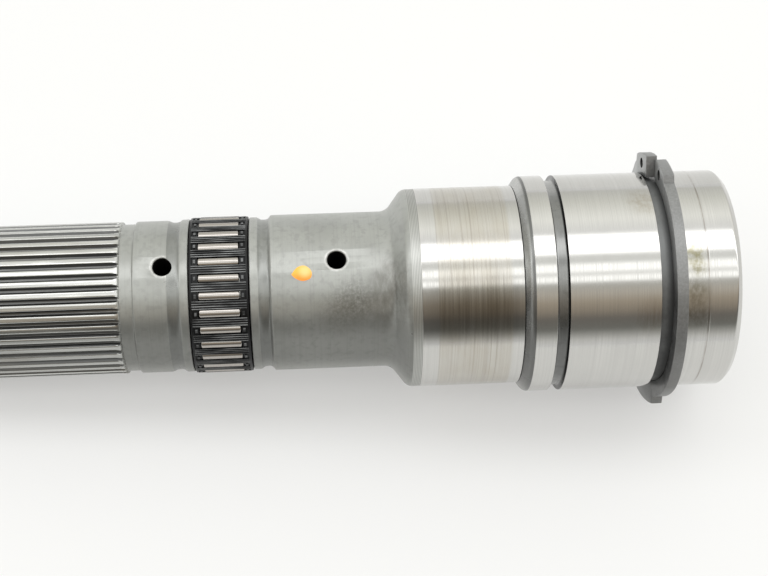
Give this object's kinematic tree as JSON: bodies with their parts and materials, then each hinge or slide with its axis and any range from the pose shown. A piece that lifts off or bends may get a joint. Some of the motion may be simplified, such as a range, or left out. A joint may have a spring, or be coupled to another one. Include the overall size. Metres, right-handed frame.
{
  "type": "transmission main shaft",
  "caption": "Stepped steel transmission shaft with external spline, ground journals, oil holes, a caged needle bearing and a sprung external retaining ring.",
  "frame": {"origin": "centre of the large end face, on the shaft's axis", "axes": "+Z along the shaft's axis from the large end to the spline end; the two oil holes open along -Y"},
  "size_m": [0.0662, 0.0662, 0.2245],
  "materials": {
    "shaft_steel": "dull grey satin on the turned stretches, ground bright on the journals",
    "cage_plastic": "black moulded plastic",
    "ring_steel": "dark grey punched spring steel",
    "roller_steel": "bright ground bearing steel",
    "paint_mark": "dab of yellow-orange marking paint"
  },
  "bodies": {
    "shaft": {"main_shaft": "shaft_steel", "snap_ring": "ring_steel"},
    "cage": {"needle_cage": "cage_plastic"},
    "roller_01": {"roller_01": "roller_steel"},
    "roller_02": {"roller_02": "roller_steel"},
    "roller_03": {"roller_03": "roller_steel"},
    "roller_04": {"roller_04": "roller_steel"},
    "roller_05": {"roller_05": "roller_steel"},
    "roller_06": {"roller_06": "roller_steel"},
    "roller_07": {"roller_07": "roller_steel"},
    "roller_08": {"roller_08": "roller_steel"},
    "roller_09": {"roller_09": "roller_steel"},
    "roller_10": {"roller_10": "roller_steel"},
    "roller_11": {"roller_11": "roller_steel"},
    "roller_12": {"roller_12": "roller_steel"},
    "roller_13": {"roller_13": "roller_steel"},
    "roller_14": {"roller_14": "roller_steel"},
    "roller_15": {"roller_15": "roller_steel"},
    "roller_16": {"roller_16": "roller_steel"},
    "roller_17": {"roller_17": "roller_steel"},
    "roller_18": {"roller_18": "roller_steel"},
    "roller_19": {"roller_19": "roller_steel"},
    "roller_20": {"roller_20": "roller_steel"},
    "roller_21": {"roller_21": "roller_steel"},
    "roller_22": {"roller_22": "roller_steel"},
    "roller_23": {"roller_23": "roller_steel"},
    "roller_24": {"roller_24": "roller_steel"},
    "roller_25": {"roller_25": "roller_steel"},
    "roller_26": {"roller_26": "roller_steel"},
    "roller_27": {"roller_27": "roller_steel"},
    "roller_28": {"roller_28": "roller_steel"}
  },
  "joints": [
    {"name": "cage_spin", "type": "hinge", "parent": "shaft", "child": "cage", "pos_m": [0, 0, 0.13814], "axis": [0, 0, 1], "continuous": true},
    {"name": "roller_01_spin", "type": "hinge", "parent": "cage", "child": "roller_01", "pos_m": [-0.00793, -0.01841, 0.13814], "axis": [0, 0, 1], "continuous": true},
    {"name": "roller_02_spin", "type": "hinge", "parent": "cage", "child": "roller_02", "pos_m": [-0.00363, -0.01972, 0.13814], "axis": [0, 0, 1], "continuous": true},
    {"name": "roller_03_spin", "type": "hinge", "parent": "cage", "child": "roller_03", "pos_m": [0.00084, -0.02003, 0.13814], "axis": [0, 0, 1], "continuous": true},
    {"name": "roller_04_spin", "type": "hinge", "parent": "cage", "child": "roller_04", "pos_m": [0.00528, -0.01934, 0.13814], "axis": [0, 0, 1], "continuous": true},
    {"name": "roller_05_spin", "type": "hinge", "parent": "cage", "child": "roller_05", "pos_m": [0.00945, -0.01768, 0.13814], "axis": [0, 0, 1], "continuous": true},
    {"name": "roller_06_spin", "type": "hinge", "parent": "cage", "child": "roller_06", "pos_m": [0.01315, -0.01514, 0.13814], "axis": [0, 0, 1], "continuous": true},
    {"name": "roller_07_spin", "type": "hinge", "parent": "cage", "child": "roller_07", "pos_m": [0.01619, -0.01183, 0.13814], "axis": [0, 0, 1], "continuous": true},
    {"name": "roller_08_spin", "type": "hinge", "parent": "cage", "child": "roller_08", "pos_m": [0.01841, -0.00793, 0.13814], "axis": [0, 0, 1], "continuous": true},
    {"name": "roller_09_spin", "type": "hinge", "parent": "cage", "child": "roller_09", "pos_m": [0.01972, -0.00363, 0.13814], "axis": [0, 0, 1], "continuous": true},
    {"name": "roller_10_spin", "type": "hinge", "parent": "cage", "child": "roller_10", "pos_m": [0.02003, 0.00084, 0.13814], "axis": [0, 0, 1], "continuous": true},
    {"name": "roller_11_spin", "type": "hinge", "parent": "cage", "child": "roller_11", "pos_m": [0.01934, 0.00528, 0.13814], "axis": [0, 0, 1], "continuous": true},
    {"name": "roller_12_spin", "type": "hinge", "parent": "cage", "child": "roller_12", "pos_m": [0.01768, 0.00945, 0.13814], "axis": [0, 0, 1], "continuous": true},
    {"name": "roller_13_spin", "type": "hinge", "parent": "cage", "child": "roller_13", "pos_m": [0.01514, 0.01315, 0.13814], "axis": [0, 0, 1], "continuous": true},
    {"name": "roller_14_spin", "type": "hinge", "parent": "cage", "child": "roller_14", "pos_m": [0.01183, 0.01619, 0.13814], "axis": [0, 0, 1], "continuous": true},
    {"name": "roller_15_spin", "type": "hinge", "parent": "cage", "child": "roller_15", "pos_m": [0.00793, 0.01841, 0.13814], "axis": [0, 0, 1], "continuous": true},
    {"name": "roller_16_spin", "type": "hinge", "parent": "cage", "child": "roller_16", "pos_m": [0.00363, 0.01972, 0.13814], "axis": [0, 0, 1], "continuous": true},
    {"name": "roller_17_spin", "type": "hinge", "parent": "cage", "child": "roller_17", "pos_m": [-0.00084, 0.02003, 0.13814], "axis": [0, 0, 1], "continuous": true},
    {"name": "roller_18_spin", "type": "hinge", "parent": "cage", "child": "roller_18", "pos_m": [-0.00528, 0.01934, 0.13814], "axis": [0, 0, 1], "continuous": true},
    {"name": "roller_19_spin", "type": "hinge", "parent": "cage", "child": "roller_19", "pos_m": [-0.00945, 0.01768, 0.13814], "axis": [0, 0, 1], "continuous": true},
    {"name": "roller_20_spin", "type": "hinge", "parent": "cage", "child": "roller_20", "pos_m": [-0.01315, 0.01514, 0.13814], "axis": [0, 0, 1], "continuous": true},
    {"name": "roller_21_spin", "type": "hinge", "parent": "cage", "child": "roller_21", "pos_m": [-0.01619, 0.01183, 0.13814], "axis": [0, 0, 1], "continuous": true},
    {"name": "roller_22_spin", "type": "hinge", "parent": "cage", "child": "roller_22", "pos_m": [-0.01841, 0.00793, 0.13814], "axis": [0, 0, 1], "continuous": true},
    {"name": "roller_23_spin", "type": "hinge", "parent": "cage", "child": "roller_23", "pos_m": [-0.01972, 0.00363, 0.13814], "axis": [0, 0, 1], "continuous": true},
    {"name": "roller_24_spin", "type": "hinge", "parent": "cage", "child": "roller_24", "pos_m": [-0.02003, -0.00084, 0.13814], "axis": [0, 0, 1], "continuous": true},
    {"name": "roller_25_spin", "type": "hinge", "parent": "cage", "child": "roller_25", "pos_m": [-0.01934, -0.00528, 0.13814], "axis": [0, 0, 1], "continuous": true},
    {"name": "roller_26_spin", "type": "hinge", "parent": "cage", "child": "roller_26", "pos_m": [-0.01768, -0.00945, 0.13814], "axis": [0, 0, 1], "continuous": true},
    {"name": "roller_27_spin", "type": "hinge", "parent": "cage", "child": "roller_27", "pos_m": [-0.01514, -0.01315, 0.13814], "axis": [0, 0, 1], "continuous": true},
    {"name": "roller_28_spin", "type": "hinge", "parent": "cage", "child": "roller_28", "pos_m": [-0.01183, -0.01619, 0.13814], "axis": [0, 0, 1], "continuous": true}
  ],
  "couplings": [
    {"joint": "roller_01_spin", "follows": "cage_spin", "ratio": 12.333},
    {"joint": "roller_02_spin", "follows": "cage_spin", "ratio": 12.333},
    {"joint": "roller_03_spin", "follows": "cage_spin", "ratio": 12.333},
    {"joint": "roller_04_spin", "follows": "cage_spin", "ratio": 12.333},
    {"joint": "roller_05_spin", "follows": "cage_spin", "ratio": 12.333},
    {"joint": "roller_06_spin", "follows": "cage_spin", "ratio": 12.333},
    {"joint": "roller_07_spin", "follows": "cage_spin", "ratio": 12.333},
    {"joint": "roller_08_spin", "follows": "cage_spin", "ratio": 12.333},
    {"joint": "roller_09_spin", "follows": "cage_spin", "ratio": 12.333},
    {"joint": "roller_10_spin", "follows": "cage_spin", "ratio": 12.333},
    {"joint": "roller_11_spin", "follows": "cage_spin", "ratio": 12.333},
    {"joint": "roller_12_spin", "follows": "cage_spin", "ratio": 12.333},
    {"joint": "roller_13_spin", "follows": "cage_spin", "ratio": 12.333},
    {"joint": "roller_14_spin", "follows": "cage_spin", "ratio": 12.333},
    {"joint": "roller_15_spin", "follows": "cage_spin", "ratio": 12.333},
    {"joint": "roller_16_spin", "follows": "cage_spin", "ratio": 12.333},
    {"joint": "roller_17_spin", "follows": "cage_spin", "ratio": 12.333},
    {"joint": "roller_18_spin", "follows": "cage_spin", "ratio": 12.333},
    {"joint": "roller_19_spin", "follows": "cage_spin", "ratio": 12.333},
    {"joint": "roller_20_spin", "follows": "cage_spin", "ratio": 12.333},
    {"joint": "roller_21_spin", "follows": "cage_spin", "ratio": 12.333},
    {"joint": "roller_22_spin", "follows": "cage_spin", "ratio": 12.333},
    {"joint": "roller_23_spin", "follows": "cage_spin", "ratio": 12.333},
    {"joint": "roller_24_spin", "follows": "cage_spin", "ratio": 12.333},
    {"joint": "roller_25_spin", "follows": "cage_spin", "ratio": 12.333},
    {"joint": "roller_26_spin", "follows": "cage_spin", "ratio": 12.333},
    {"joint": "roller_27_spin", "follows": "cage_spin", "ratio": 12.333},
    {"joint": "roller_28_spin", "follows": "cage_spin", "ratio": 12.333}
  ]
}
